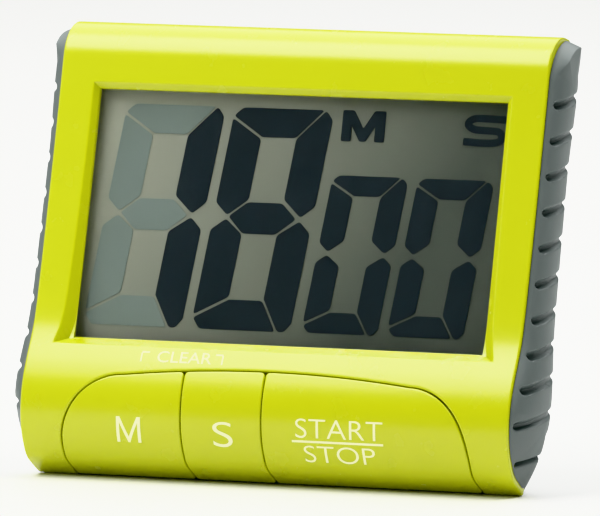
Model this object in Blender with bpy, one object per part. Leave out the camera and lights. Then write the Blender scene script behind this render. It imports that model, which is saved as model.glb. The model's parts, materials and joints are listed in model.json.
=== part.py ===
"""Bench timer with a folded lime face, three flush keys and ribbed grey grips.

Everything is drawn in the case's own frame, in millimetres: X to the right, Y towards the back
and Z up along the face, with Y = 0 on the upper face.  One empty, timer_frame, leans that frame
back, as the open stand holds it, and seats it on the origin.
"""
import math

import bmesh
import bpy
from mathutils import Vector

MM = 0.001
GAP = 0.3                   # clearance between pieces that touch or nearly touch

# ---- driving dimensions ------------------------------------------------------------------
FACE_WIDTH = 85.0           # lime front, between its side edges
HEIGHT = 74.7               # along the face, from the bottom edge to the top fold
LEAN = math.radians(15.0)   # lean of the case on its open stand
BACK = 18.6                 # depth of the flat back behind the upper face
WALL = 1.7                  # front housing
REAR_WALL = 1.8
FOLD_RADIUS = 6.5           # top fold of the face

WINDOW = (71.4, 41.2)       # display aperture
WINDOW_BASE = 21.65         # height of the aperture's lower edge
APERTURE_DEPTH = 0.9        # the bevelled border ends here

CHIN_POINTS = ((0.0, 57.0), (-0.15, 46.0), (-0.4, 35.0), (-0.65, 28.0), (-0.95, 24.2),
               (-1.5, 21.4), (-2.75, 16.8), (-3.4, 12.8), (-3.1, 9.2), (-2.1, 6.1),
               (-0.45, 3.6), (1.9, 1.55), (7.1, 0.0))

KEY_HALF_WIDTH = 35.6       # the three keys together
KEY_TOP = 16.9
KEY_TOP_RADIUS = 210.0      # shallow arch of their upper edge
KEY_CORNER = (10.6, 12.3)   # upper corner, an ellipse's half axes
KEY_SEAMS = (-14.3, -0.2)   # between M and S, and between S and START
SEAM = 0.35
KEY_TRAVEL = 0.5
KEY_WALL = WALL + GAP - KEY_TRAVEL - 0.1    # thin enough to travel without meeting the grey body
KEY_ENDS = 7.0              # depth that the keys' lower edges reach under the chin

GRIP_BULGE = (2.7, 2.0)     # how far a grip stands out of the face's edge, at the foot and the top
GRIP_SPINE = (5.3, 18.0, 66.0)  # depth of the widest line, and its lower and upper end
GREY_INSET = 0.5            # of the grey body behind the face
SHOULDER_RADIUS = 8.5       # grey body's upper edge at the front, seen from the side
CORNER_RADIUS = 6.0         # and at the back
HEEL_TOP = 7.0              # height where the rounded heel meets the back
FLAT_BACK = 25.0            # half width of the flat part of the back
RIB_SLOTS = 11
RIB_PITCH = 5.87
RIB_FIRST = 4.1             # height of the lowest slot's front end
RIB_WIDTH = 1.15
RIB_DEPTH = 1.1
RIB_START = 1.1             # behind the face
RIB_LENGTH = 13.0
RIB_RISE = math.radians(22.0)

FOOT = (7.9, 10.2)          # depth range of the flat foot, level when the case leans
FOOT_DROP = 2.0             # level of the foot under the face's lower edge

CELL_RADIUS = 5.25          # AAA cell
CELL_LENGTH = 44.5
CELL_CENTRE = (0.0, 11.95, 59.0)
DOOR = (24.5, 51.6, 71.6)   # half width, lower and upper edge
DOOR_THICKNESS = 1.2

HINGE = (17.0, 44.0)        # stand's pin
STAND_HALF_WIDTH = 13.0
STAND_THICKNESS = 2.6
STAND_SPREAD = math.radians(13.5)   # of the open leg from the vertical
PIN_RADIUS = 0.8

MAGNET = (20.4, 36.0, 6.0)  # offset to each side, height and radius
BUZZER = (-24.8, 22.8, 7.0)      # place across and up, and radius
BOARD = (4.5, 5.5)          # depth of the circuit board's two faces
CASE_SCREWS = ((-33.0, 68.6), (33.0, 68.6), (-37.0, 14.8), (37.0, 14.8))
BOARD_SCREWS = ((-31.3, 13.6), (31.3, 13.6))
KEYS = (("minutes", -24.9), ("seconds", -7.25), ("start_stop", 17.7))
SWITCH_HEIGHT = 8.5


# ---- scene and materials -----------------------------------------------------------------
def clear_scene():
    for old in list(bpy.context.scene.objects):
        bpy.data.objects.remove(old, do_unlink=True)


def material(name, colour, roughness, metallic=0.0, alpha=1.0):
    made = bpy.data.materials.new(name)
    made.use_nodes = True
    shader = made.node_tree.nodes["Principled BSDF"]
    shader.inputs["Base Color"].default_value = (*colour, 1.0)
    shader.inputs["Roughness"].default_value = roughness
    shader.inputs["Metallic"].default_value = metallic
    shader.inputs["Alpha"].default_value = alpha
    made.diffuse_color = (*colour, 1.0)
    return made


clear_scene()
LIME = material("lime_plastic", (0.56, 0.62, 0.03), 0.38)
GREY = material("grey_rubberised_plastic", (0.22, 0.25, 0.26), 0.62)
CLEAR = material("clear_acrylic", (0.9, 0.93, 0.93), 0.05, alpha=0.25)
GLASS = material("display_glass", (0.22, 0.25, 0.19), 0.12)
FILM = material("silver_film", (0.5, 0.52, 0.45), 0.4, 0.3)
BLACK = material("black_plastic", (0.02, 0.02, 0.02), 0.5)
BOARD_GREEN = material("circuit_board_green", (0.02, 0.14, 0.06), 0.45)
EPOXY = material("black_epoxy", (0.01, 0.01, 0.01), 0.3)
STEEL = material("plated_steel", (0.6, 0.6, 0.6), 0.3, 1.0)
BRASS = material("brass", (0.7, 0.5, 0.2), 0.35, 1.0)
CERAMIC = material("white_ceramic", (0.8, 0.8, 0.76), 0.5)
LABEL = material("cell_label", (0.05, 0.07, 0.12), 0.4)
AMBER = material("amber_film", (0.5, 0.25, 0.04), 0.35)
RED = material("red_wire", (0.5, 0.02, 0.02), 0.45)
DARK_WIRE = material("black_wire", (0.015, 0.015, 0.015), 0.45)


def make_frame():
    frame = bpy.data.objects.new("timer_frame", None)
    bpy.context.collection.objects.link(frame)
    frame.rotation_euler.x = -LEAN
    return frame


FRAME = make_frame()


# ---- building blocks ---------------------------------------------------------------------
def piece(name, points, faces, finish=None, origin=(0.0, 0.0, 0.0), smooth=False):
    """A closed mesh from points in millimetres, with its origin where it is asked for."""
    mesh = bpy.data.meshes.new(name)
    shape = bmesh.new()
    corners = [shape.verts.new((Vector(point) - Vector(origin)) * MM) for point in points]
    for face in faces:
        shape.faces.new([corners[i] for i in face])
    bmesh.ops.recalc_face_normals(shape, faces=shape.faces)
    shape.to_mesh(mesh)
    shape.free()
    made = bpy.data.objects.new(name, mesh)
    bpy.context.collection.objects.link(made)
    made.parent = FRAME
    made.location = Vector(origin) * MM
    if finish:
        mesh.materials.append(finish)
    else:
        made.hide_render = True
        made.display_type = "WIRE"
    if smooth:
        mesh.shade_smooth()
        mesh.set_sharp_from_angle(angle=math.radians(35))
    return made


def stack(name, rings, finish=None, origin=(0.0, 0.0, 0.0), smooth=False):
    """Joins rings of equal length one after another and closes both ends."""
    size = len(rings[0])
    points = [point for ring in rings for point in ring]
    faces = [tuple(range(size)), tuple(range(len(points) - size, len(points)))]
    for level in range(len(rings) - 1):
        for i in range(size):
            a = level * size + i
            b = level * size + (i + 1) % size
            faces.append((a, b, b + size, a + size))
    return piece(name, points, faces, finish, origin, smooth)


def along_x(name, outline, low, high, finish=None, **options):
    """Extrudes an outline of (y, z) points across the case."""
    return stack(name, [[(x, y, z) for y, z in outline] for x in (low, high)], finish, **options)


def along_y(name, outline, low, high, finish=None, **options):
    """Extrudes an outline of (x, z) points from front to back."""
    return stack(name, [[(x, y, z) for x, z in outline] for y in (low, high)], finish, **options)


def block(name, x, y, z, finish=None, **options):
    outline = ((x[0], z[0]), (x[1], z[0]), (x[1], z[1]), (x[0], z[1]))
    return along_y(name, outline, y[0], y[1], finish, **options)


def circle(centre, radius, sides):
    turn = 2 * math.pi / sides
    return [(centre[0] + radius * math.cos(i * turn), centre[1] + radius * math.sin(i * turn))
            for i in range(sides)]


def peg(name, centre, steps, finish=None, sides=24, **options):
    """A turned piece along Y about (x, z): steps are (depth, radius) pairs from front to back."""
    rings = [[(x, depth, z) for x, z in circle(centre, radius, sides)] for depth, radius in steps]
    return stack(name, rings, finish, smooth=finish is not None, **options)


def rod(name, centre, steps, finish=None, sides=24, **options):
    """A turned piece along X about (y, z): steps are (x, radius) pairs."""
    rings = [[(x, y, z) for y, z in circle(centre, radius, sides)] for x, radius in steps]
    return stack(name, rings, finish, smooth=finish is not None, **options)


def boolean(target, tool, operation):
    step = target.modifiers.new(tool.name, "BOOLEAN")
    step.operation = operation
    step.solver = "EXACT"
    step.object = tool


def cut(target, *tools):
    for tool in tools:
        boolean(target, tool, "DIFFERENCE")


def add(target, *tools):
    for tool in tools:
        boolean(target, tool, "UNION")


def wire(name, route, radius, finish, steps=6, roundness=2):
    """Round wire along a smooth curve, with so many steps between two of its route's points."""
    curve = bpy.data.curves.new(name, "CURVE")
    curve.dimensions = "3D"
    curve.bevel_depth = radius * MM
    curve.bevel_resolution = roundness
    curve.use_fill_caps = True
    points = smooth_through(route, steps)
    line = curve.splines.new("POLY")
    line.points.add(len(points) - 1)
    for point, place in zip(line.points, points):
        point.co = (*(Vector(place) * MM), 1.0)
    made = bpy.data.objects.new(name, curve)
    bpy.context.collection.objects.link(made)
    made.parent = FRAME
    curve.materials.append(finish)
    return made


# ---- outlines ----------------------------------------------------------------------------
def smooth_through(points, steps):
    """Catmull-Rom curve through points of any dimension."""
    knots = [Vector(point) for point in points]
    knots = [2 * knots[0] - knots[1], *knots, 2 * knots[-1] - knots[-2]]
    line = []
    for a, b, c, d in zip(knots, knots[1:], knots[2:], knots[3:]):
        for i in range(steps):
            t = i / steps
            line.append(tuple(0.5 * (2 * b + (c - a) * t + (2 * a - 5 * b + 4 * c - d) * t * t
                                     + (3 * b - 3 * c + d - a) * t ** 3)))
    return line + [tuple(knots[-2])]


def arc(centre, radius, start, end, steps):
    angles = [math.radians(start + (end - start) * i / steps) for i in range(steps + 1)]
    return [(centre[0] + radius * math.cos(a), centre[1] + radius * math.sin(a)) for a in angles]


def inset(line, distance):
    """Moves a line that runs over the top, down the face and under the chin inwards."""
    moved = []
    for i, (y, z) in enumerate(line):
        before = line[max(i - 1, 0)]
        after = line[min(i + 1, len(line) - 1)]
        dy, dz = after[0] - before[0], after[1] - before[1]
        length = math.hypot(dy, dz)
        moved.append((y - dz / length * distance, z + dy / length * distance))
    return moved


CHIN = smooth_through(CHIN_POINTS, 3)
FOLD_CENTRE = (FOLD_RADIUS, HEIGHT - FOLD_RADIUS)
TOP_REACH = 9.2             # depth that the fold reaches over the top
LIP_END = (7.6, 0.04)       # where the face ends under the chin, beside the keys


def below(line, height):
    return [point for point in line if point[1] < height]


def foot_level(depth):
    """Height of the level foot plane at a depth, in the leaning case's own frame."""
    return (-FOOT_DROP + depth * math.sin(LEAN)) / math.cos(LEAN)


def curve_between(start, control, end, steps):
    line = []
    for i in range(steps + 1):
        t = i / steps
        line.append(tuple((1 - t) ** 2 * s + 2 * t * (1 - t) * c + t * t * e
                          for s, c, e in zip(start, control, end)))
    return line


def body_outline(depth):
    """Side view of the grey body, closed, depth inside its outer surface."""
    steps = 6
    front = inset(CHIN, GREY_INSET + depth)
    shoulder = arc((GREY_INSET + SHOULDER_RADIUS, HEIGHT - SHOULDER_RADIUS), SHOULDER_RADIUS - depth,
                   90, 175, steps)
    corner = arc((BACK - CORNER_RADIUS, HEIGHT - CORNER_RADIUS), CORNER_RADIUS - depth, 0, 90, steps)
    heel = curve_between((FOOT[1], foot_level(FOOT[1])), (BACK, foot_level(BACK)), (BACK, HEEL_TOP),
                         steps)
    # inside, the heel lies higher at the foot and further forward at the back
    rear = [(y - depth * i / steps, z + depth * (1 - i / steps)) for i, (y, z) in enumerate(heel)]
    toe = [(FOOT[0] + 0.3 * depth, foot_level(FOOT[0]) + depth)]
    return toe + rear + corner + shoulder + front[2:-2]


def body(name, depth, sink, finish=None):
    """The grey body as one cushion: every ring draws in towards the spine as it moves outward."""
    spine, low, high = GRIP_SPINE
    levels = (0.0, 0.16, 0.34, 0.54, 0.76, 1.0)
    outline = body_outline(depth)

    def ring(level, side):
        points = []
        for y, z in outline:
            centre = min(max(z, low), high)
            share = centre / HEIGHT
            widest = FACE_WIDTH / 2 + GRIP_BULGE[0] * (1 - share) + GRIP_BULGE[1] * share - sink
            rearward = max(0.0, (y - spine) / (BACK - spine))
            inner = FACE_WIDTH / 2 - sink - (FACE_WIDTH / 2 - FLAT_BACK) * rearward ** 2
            scale = math.sin(math.radians(9 + 81 * level))
            x = inner + (widest - inner) * math.cos(math.pi / 2 * level)
            points.append((side * x, spine + (y - spine) * scale, centre + (z - centre) * scale))
        return points

    rings = [ring(level, -1) for level in levels] + [ring(level, 1) for level in reversed(levels)]
    return stack(name, rings, finish, smooth=finish is not None)


def key_outline():
    """Edge of the three keys together as (x, z), from the left foot over the top to the right."""
    side, top = KEY_CORNER
    flat = KEY_HALF_WIDTH - side
    corner = [(flat + side * math.sin(a), KEY_TOP - flat ** 2 / (2 * KEY_TOP_RADIUS) - top
               + top * math.cos(a)) for a in [math.pi / 2 * i / 9 for i in range(1, 10)]]
    arch = [(x, KEY_TOP - x * x / (2 * KEY_TOP_RADIUS))
            for x in [-flat + 2 * flat * i / 10 for i in range(11)]]
    left = [(-x, z) for x, z in reversed(corner)]
    return [(-KEY_HALF_WIDTH, -3.0)] + left + arch + corner + [(KEY_HALF_WIDTH, -3.0)]


def key_part(low, high):
    """The piece of the keys' outline between two seams, less half a seam all round."""
    inner = [(x * (1 - SEAM / KEY_HALF_WIDTH), z - SEAM) for x, z in key_outline()]
    foot = inner[0][1]
    kept = []
    for a, b in zip(inner, inner[1:] + inner[-1:]):
        if low <= a[0] <= high:
            kept.append(a)
        for limit in (low, high):
            if (a[0] - limit) * (b[0] - limit) < 0:
                share = (limit - a[0]) / (b[0] - a[0])
                kept.append((limit, a[1] + share * (b[1] - a[1])))
    closing = [(x, foot) for x in (kept[-1][0], kept[0][0]) if low < x < high or x in (low, high)]
    return kept + [point for point in closing if point not in (kept[0], kept[-1])]


# ---- front housing -----------------------------------------------------------------------
def front_section(side_inset=0.0):
    outer = ([(TOP_REACH, HEIGHT)] + arc(FOLD_CENTRE, FOLD_RADIUS, 90, 180, 10) + CHIN
             + [LIP_END])
    outer = inset(outer, side_inset) if side_inset else outer
    chin_inside = below(inset(CHIN, WALL), KEY_TOP + 0.4)
    inner = ([(TOP_REACH, HEIGHT - WALL)] + arc(FOLD_CENTRE, FOLD_RADIUS - WALL, 90, 180, 6)
             + [(WALL, KEY_TOP + 0.9), (chin_inside[0][0], KEY_TOP + 0.6)] + chin_inside
             + [(LIP_END[0], LIP_END[1] + WALL)])
    return outer + list(reversed(inner))


def make_front_housing():
    half = FACE_WIDTH / 2
    edge = 0.35
    rings = [[(x, y, z) for y, z in front_section(rounding)]
             for x, rounding in ((-half, edge), (-half + edge, 0.0), (half - edge, 0.0), (half, edge))]
    housing = stack("front_housing", rings, LIME, smooth=True)

    width, height = WINDOW[0] / 2, WINDOW_BASE + WINDOW[1]
    cut(housing, block("window_cutter", (-width, width), (0.5, 4.0), (WINDOW_BASE, height)))
    reach = APERTURE_DEPTH + 6.0
    near = [(-width, WINDOW_BASE), (width, WINDOW_BASE), (width, height), (-width, height)]
    far = [(-width - reach, WINDOW_BASE - 0.55 * reach), (width + reach, WINDOW_BASE - 0.55 * reach),
           (width + reach, height + reach), (-width - reach, height + reach)]
    cut(housing, stack("window_bevel_cutter", [[(x, APERTURE_DEPTH, z) for x, z in near],
                                               [(x, APERTURE_DEPTH - reach, z) for x, z in far]]))
    cut(housing, along_y("key_opening_cutter", key_outline(), -8.0, 12.0))
    for i, (x, z) in enumerate(CASE_SCREWS):
        root = 0.6 if z > HEIGHT / 2 else -2.3
        radius = 2.5 if z > HEIGHT / 2 else 2.2
        add(housing, peg(f"front_boss_{i}", (x, z), ((root, radius), (8.0, radius)), sides=16))
        cut(housing, peg(f"front_bore_{i}", (x, z), ((2.2, 1.2), (9.0, 1.2)), sides=12))
    return housing


# ---- rear housing ------------------------------------------------------------------------
def front_clearance():
    """Everything in front of the grey body: the front housing's own space and the air before it."""
    gap = WALL + GAP
    chin_inside = below(inset(CHIN, gap), KEY_TOP)
    inner = ([(TOP_REACH + GAP, HEIGHT + 4), (TOP_REACH + GAP, HEIGHT - gap)]
             + arc(FOLD_CENTRE, FOLD_RADIUS - gap, 90, 180, 6)
             + [(gap, KEY_TOP + 0.3)] + chin_inside[:-1] + [(FOOT[0], WALL), (FOOT[0], -4.0)])
    half = FACE_WIDTH / 2 + GAP
    return along_x("front_clearance_cutter", inner + [(-12.0, -4.0), (-12.0, HEIGHT + 4)], -half, half)


def chin_depth(height):
    """Depth of the front surface at a height."""
    for (y, z), (next_y, next_z) in zip(CHIN, CHIN[1:]):
        if next_z <= height <= z:
            return y + (next_y - y) * (z - height) / (z - next_z)
    return 0.0


def make_rib_slots():
    """Grooves across the grips, from just behind the face's edge and rising to the back."""
    slots = bmesh.new()
    radius = RIB_WIDTH / 2
    for index in range(RIB_SLOTS):
        height = RIB_FIRST + RIB_PITCH * index
        start = chin_depth(height) + RIB_START + radius
        nose = [(start + radius * math.cos(a), height + radius * math.sin(a))
                for a in [RIB_RISE + math.pi * (0.5 + i / 4) for i in range(5)]]
        run_y, run_z = RIB_LENGTH * math.cos(RIB_RISE), RIB_LENGTH * math.sin(RIB_RISE)
        outline = nose + [(nose[-1][0] + run_y, nose[-1][1] + run_z),
                          (nose[0][0] + run_y, nose[0][1] + run_z)]
        for low, high in ((-50.0, -30.0), (30.0, 50.0)):
            slot = along_x("slot", outline, low, high)
            slots.from_mesh(slot.data)
            bpy.data.objects.remove(slot, do_unlink=True)
    grooves = piece("rib_slots", (), ())
    slots.to_mesh(grooves.data)
    slots.free()
    cut(grooves, body("rib_floor", RIB_DEPTH, RIB_DEPTH))
    return grooves


def make_cavity():
    """The room inside the grey body, around its columns, battery box and recesses."""
    cavity = body("cavity", REAR_WALL, 2.6)
    for i, (x, z) in enumerate(CASE_SCREWS):
        cut(cavity, peg(f"screw_column_{i}", (x, z), ((8.3, 3.2), (25, 3.2)), sides=16))
    for i, (x, z) in enumerate(BOARD_SCREWS):
        cut(cavity, peg(f"board_column_{i}", (x, z), ((BOARD[1] + GAP, 2.4), (25, 2.4)), sides=16))
    cut(cavity, block("battery_box", (-26.9, 26.9), (5.65, 30), (DOOR[1] - 1.8, 80)))
    cut(cavity, block("stand_well", (-15.6, 15.6), (13.4, 30), (-5, HINGE[1] + 5.4)))
    for side in (-1, 1):
        cut(cavity, peg(f"magnet_well_{side}", (side * MAGNET[0], MAGNET[1]),
                        ((15.0, MAGNET[2] + 1.5), (30, MAGNET[2] + 1.5))))
    seat = peg("buzzer_seat", BUZZER[:2], ((14.2, BUZZER[2] + 0.8), (30, BUZZER[2] + 0.8)))
    cut(seat, peg("buzzer_seat_bore", BUZZER[:2], ((10, BUZZER[2] - 1.4), (30, BUZZER[2] - 1.4))))
    cut(cavity, seat)
    return cavity


def make_rear_housing():
    housing = body("rear_housing", 0.0, 0.0, GREY)
    mouth = block("mouth_cutter", (-40.6, 40.6), (-6, 8.8), (2.4, HEIGHT - REAR_WALL - 0.55))
    cut(housing, make_cavity(), mouth, front_clearance())
    cut(housing, make_rib_slots())
    for i, (x, z) in enumerate(CASE_SCREWS):
        cut(housing, peg(f"boss_room_{i}", (x, z), ((-9, 2.8), (8.25, 2.8)), sides=16))
        cut(housing, peg(f"case_bore_{i}", (x, z), ((7, 1.2), (10.85, 1.2), (10.85, 2.3), (25, 2.3)),
                         sides=16))
    for i, (x, z) in enumerate(BOARD_SCREWS):
        cut(housing, peg(f"board_bore_{i}", (x, z), ((5, 1.1), (11, 1.1)), sides=12))

    half, low, high = DOOR
    cell_room = CELL_LENGTH / 2 + 3.1
    cut(housing, block("battery_room_cutter", (-cell_room, cell_room), (6.4, 17.0),
                       (CELL_CENTRE[2] - 5.7, CELL_CENTRE[2] + 5.7)))
    cut(housing, block("door_seat_cutter", (-half - GAP, half + GAP), (16.9, BACK + 8),
                       (low - GAP, HEIGHT + 8)))
    for side in (-1, 1):
        cut(housing, block(f"door_rail_cutter_{side}", sorted((side * (half - 1.5), side * (half + 1.5))),
                           (15.75, 17.05), (low - GAP, HEIGHT + 8)))

    well = STAND_HALF_WIDTH + 0.4
    cut(housing, block("stand_well_cutter", (-well, well), (15.1, BACK + 8), (-6, HINGE[1] + 3.4)))
    cut(housing, rod("stand_pin_bore", HINGE, ((-14.9, PIN_RADIUS + GAP), (14.9, PIN_RADIUS + GAP)),
                     sides=16))
    for side in (-1, 1):
        cut(housing, peg(f"magnet_pocket_{side}", (side * MAGNET[0], MAGNET[1]),
                         ((16.3, MAGNET[2] + GAP), (30, MAGNET[2] + GAP))))
    for i in (-1, 0, 1):
        x, z = BUZZER[0], BUZZER[1] + 3.6 * i
        cut(housing, block(f"sound_slot_{i}", (x - 4, x + 4), (12, 30), (z - 0.7, z + 0.7)))
    return housing


# ---- keys and switches -------------------------------------------------------------------
def make_keys():
    skin = below(CHIN, KEY_TOP + 3)
    skin = [point for point in skin if point[0] < KEY_ENDS] + [(KEY_ENDS, 0.03)]
    section = skin + list(reversed(inset(skin, KEY_WALL)))
    limits = (-KEY_HALF_WIDTH - 1, *KEY_SEAMS, KEY_HALF_WIDTH + 1)
    for (name, x), low, high in zip(KEYS, limits, limits[1:]):
        origin = (x, 0.0, SWITCH_HEIGHT)
        key = along_x(f"{name}_button", section, -KEY_HALF_WIDTH - 2, KEY_HALF_WIDTH + 2, LIME,
                      origin=origin, smooth=True)
        shape = key_part(low + SEAM / 2, high - SEAM / 2)
        boolean(key, along_y(f"{name}_outline", shape, -8.0, 12.0), "INTERSECT")
        add(key, peg(f"{name}_post", (x, SWITCH_HEIGHT), ((-2.2, 2.0), (0.75, 2.0)), sides=16))
        base = block(f"{name}_switch", (x - 3, x + 3), (1.9, BOARD[0] - 0.15),
                     (SWITCH_HEIGHT - 3, SWITCH_HEIGHT + 3), BLACK)
        cut(base, peg(f"{name}_switch_bore", (x, SWITCH_HEIGHT), ((1.0, 2.0), (3.3, 2.0)), sides=20))
        peg(f"{name}_switch_plunger", (x, SWITCH_HEIGHT), ((0.9, 1.5), (1.0, 1.65), (2.4, 1.65)),
            CERAMIC, sides=20, origin=origin)


# ---- display -----------------------------------------------------------------------------
def make_display():
    for layer, half, depths, heights, finish in (
            ("lens", 37.5, (WALL + GAP, 2.8), (20.0, 64.5), CLEAR),
            ("front_polariser", 36.9, (3.2, 3.4), (22.6, 64.0), FILM),
            ("front_glass", 37.3, (3.5, 4.2), (22.3, 64.3), GLASS),
            ("rear_glass", 37.3, (4.3, 5.0), (20.2, 64.3), GLASS),
            ("reflector", 36.9, (5.1, 5.3), (20.6, 64.0), FILM)):
        block(f"display_{layer}", (-half, half), depths, heights, finish)

    frame = block("display_frame", (-39.3, 39.3), (2.05, 6.3), (18.5, 65.7), BLACK)
    cut(frame, block("frame_inside_cutter", (-37.8, 37.8), (0, 5.55), (19.7, 64.8)))
    cut(frame, block("frame_back_cutter", (-35.6, 35.6), (5.3, 9), (16, 70)))
    for low_z, high_z in ((17, 22), (62.8, 68)):
        cut(frame, block(f"frame_bar_cutter_{low_z}", (-50, 50), (5.4, 9), (low_z, high_z)))
    cut(frame, block("frame_ribbon_cutter", (-27, 27), (3.7, 9), (17, 19.9)))

    path = smooth_through(((4.0, 22.0), (4.0, 20.6), (4.1, 18.9), (4.15, 17.4), (4.15, 15.8)), 3)
    band = path + [(y + 0.15, z) for y, z in reversed(path)]
    along_x("display_ribbon", band, -25.5, 25.5, AMBER, smooth=True)


# ---- electronics -------------------------------------------------------------------------
def make_board():
    board = block("circuit_board", (-34.2, 34.2), BOARD, (3.0, 18.2), BOARD_GREEN)
    for i, (x, z) in enumerate(BOARD_SCREWS):
        cut(board, peg(f"board_hole_{i}", (x, z), ((0, 1.3), (9, 1.3)), sides=16))
        peg(f"board_screw_{'left' if x < 0 else 'right'}", (x, z),
            ((3.0, 1.2), (3.3, 1.9), (4.2, 1.9), (4.2, 0.8), (10.4, 0.8)), STEEL, sides=16)
    rear = BOARD[1] + 0.15
    peg("controller_chip_blob", (3.0, 10.5),
        ((rear, 5.0), (rear + 0.5, 4.7), (rear + 0.9, 3.8), (rear + 1.2, 2.2)), EPOXY)
    rod("crystal_can", (rear + 1.05, 14.0), ((10.5, 0.8), (10.8, 1.0), (16.0, 1.0), (16.3, 0.8)),
        STEEL, sides=16)
    for i, x in enumerate((-8.0, -11.5)):
        block(f"ceramic_capacitor_{i + 1}", (x - 1.0, x + 1.0), (rear, rear + 0.9), (12.0, 13.3),
              CERAMIC)
    block("pull_up_resistor", (19.0, 21.0), (rear, rear + 0.6), (11.0, 12.3), EPOXY)


def make_buzzer():
    peg("buzzer_disc", BUZZER[:2], ((13.6, BUZZER[2]), (13.9, BUZZER[2])), BRASS, sides=32)
    peg("buzzer_ceramic", BUZZER[:2], ((13.2, 4.8), (13.45, 4.8)), CERAMIC, sides=32)


# ---- battery -----------------------------------------------------------------------------
def make_battery():
    y, z = CELL_CENTRE[1:]
    plus = -CELL_LENGTH / 2 - 1.6
    rod("battery_cell", (y, z), ((plus, 1.9), (plus + 0.9, 1.9), (plus + 0.9, 4.6),
                                 (plus + 1.3, CELL_RADIUS), (plus + CELL_LENGTH - 0.4, CELL_RADIUS),
                                 (plus + CELL_LENGTH, 4.6)), LABEL, sides=32)
    end = CELL_LENGTH / 2 + 2.9
    block("battery_plus_contact", (-end, -end + 0.5), (8.0, 15.2), (z - 4.5, z + 4.5), STEEL)
    block("battery_minus_contact", (end - 0.5, end), (8.0, 15.2), (z - 4.5, z + 4.5), STEEL)
    start, stop = plus + CELL_LENGTH + 0.5, end - 0.8
    turns, points_per_turn = 3, 12
    coil = []
    for i in range(turns * points_per_turn + 1):
        share = i / (turns * points_per_turn)
        angle = 2 * math.pi * turns * share
        radius = 2.2 + 1.3 * share
        coil.append((start + (stop - start) * share, y + radius * math.cos(angle),
                     z + radius * math.sin(angle)))
    wire("battery_spring", coil, 0.25, STEEL, steps=1, roundness=1)

    half, low, high = DOOR
    middle = (0.0, BACK - DOOR_THICKNESS / 2, (low + high) / 2)
    corner = arc((BACK - CORNER_RADIUS, HEIGHT - CORNER_RADIUS), CORNER_RADIUS, 0, 90, 6)
    corner = [point for point in corner if point[1] < high]
    lip = BACK - DOOR_THICKNESS
    section = [(lip, low), (BACK, low)] + corner + [(lip, high)]
    door = along_x("battery_door", section, -half, half, GREY, origin=middle)
    for side in (-1, 1):
        inner, outer = side * (half - 1.2), side * (half + 1.2)
        web = side * (half - 0.2)
        add(door, block(f"door_web_{side}", sorted((inner, web)), (16.3, lip + 0.4),
                        (low + 0.5, high - 2.4)))
        add(door, block(f"door_tongue_{side}", sorted((inner, outer)), (16.05, 16.75),
                        (low + 0.3, high - 2.2)))
    for i in range(5):
        z_rib = low + 2.6 + 1.2 * i
        cut(door, block(f"door_groove_{i}", (-5, 5), (BACK - 0.4, BACK + 2), (z_rib, z_rib + 0.6)))


# ---- stand and magnets -------------------------------------------------------------------
def leg_length():
    """From the stand's pin to the middle of its foot, which is level on the floor when open."""
    height = HINGE[1] * math.cos(LEAN) - HINGE[0] * math.sin(LEAN) + FOOT_DROP
    return height / math.cos(STAND_SPREAD)


def make_stand():
    y, z = HINGE
    open_angle = LEAN + STAND_SPREAD
    half = STAND_THICKNESS / 2
    tip = -leg_length()
    slope = half * math.tan(STAND_SPREAD)
    barrel = arc((y, z), 1.6, -35, 215, 14)
    section = barrel + [(y - half, z + tip + slope), (y + half, z + tip - slope)]
    stand = along_x("tilt_stand", section, -STAND_HALF_WIDTH, STAND_HALF_WIDTH, GREY,
                    origin=(0.0, y, z), smooth=True)
    add(stand, block("stand_heel", (-STAND_HALF_WIDTH + 0.5, STAND_HALF_WIDTH - 0.5),
                     (y + 0.1, y + half), (z + 0.8, z + 3.0)))
    cut(stand, rod("stand_bore", (y, z), ((-20, PIN_RADIUS + GAP), (20, PIN_RADIUS + GAP)), sides=16))
    for low, high in ((6, 20), (22, 36)):
        cut(stand, block(f"stand_relief_{low}", (-10, 10), (y - 5, y - half + 1.0), (z - high, z - low)))
    tools = [step.object for step in stand.modifiers]
    pivot = stand.location.copy()
    stand.rotation_euler.x = open_angle
    for tool in tools:
        tool.parent = stand
        tool.location = -pivot
    rod("stand_hinge_pin", (y, z), ((-14.6, PIN_RADIUS), (14.6, PIN_RADIUS)), STEEL, sides=16)


def make_magnets():
    for side, name in ((-1, "left"), (1, "right")):
        peg(f"magnet_{name}", (side * MAGNET[0], MAGNET[1]),
            ((16.6, MAGNET[2]), (BACK, MAGNET[2]), (BACK + 0.2, MAGNET[2] - 0.2)), STEEL, sides=32)


def make_fasteners():
    for x, z in CASE_SCREWS:
        row = "upper" if z > HEIGHT / 2 else "lower"
        side = "left" if x < 0 else "right"
        peg(f"case_screw_{row}_{side}", (x, z),
            ((2.6, 0.6), (3.2, 0.9), (11.15, 0.9), (11.15, 1.95), (12.2, 1.95), (12.6, 1.5)),
            STEEL, sides=16)


def make_leads():
    y, z = CELL_CENTRE[1:]
    end = CELL_LENGTH / 2 + 5.6
    pin = BOARD[1] + 0.7
    for name, side, finish in (("plus", -1, RED), ("minus", 1, DARK_WIRE)):
        wire(f"battery_lead_{name}", ((side * end, 9.0, z - 2), (side * (end + 0.4), 8.8, z - 7),
                                      (side * end, 8.4, z - 14), (side * 26.5, 8.6, z - 22),
                                      (side * 24.0, 8.6, z - 34), (side * 22.5, 7.6, z - 42),
                                      (side * 22.0, pin, z - 43.6)), 0.45, finish)
    for name, shift, finish in (("signal", 3.0, RED), ("ground", 7.0, DARK_WIRE)):
        x, height = BUZZER[0] + shift, BUZZER[1]
        wire(f"buzzer_lead_{name}", ((x, 12.6, height - 1), (x + 1.2, 11.0, height - 3),
                                     (x + 3.2, 8.6, height - 6), (x + 4.2, pin, height - 8)),
             0.4, finish)


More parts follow.
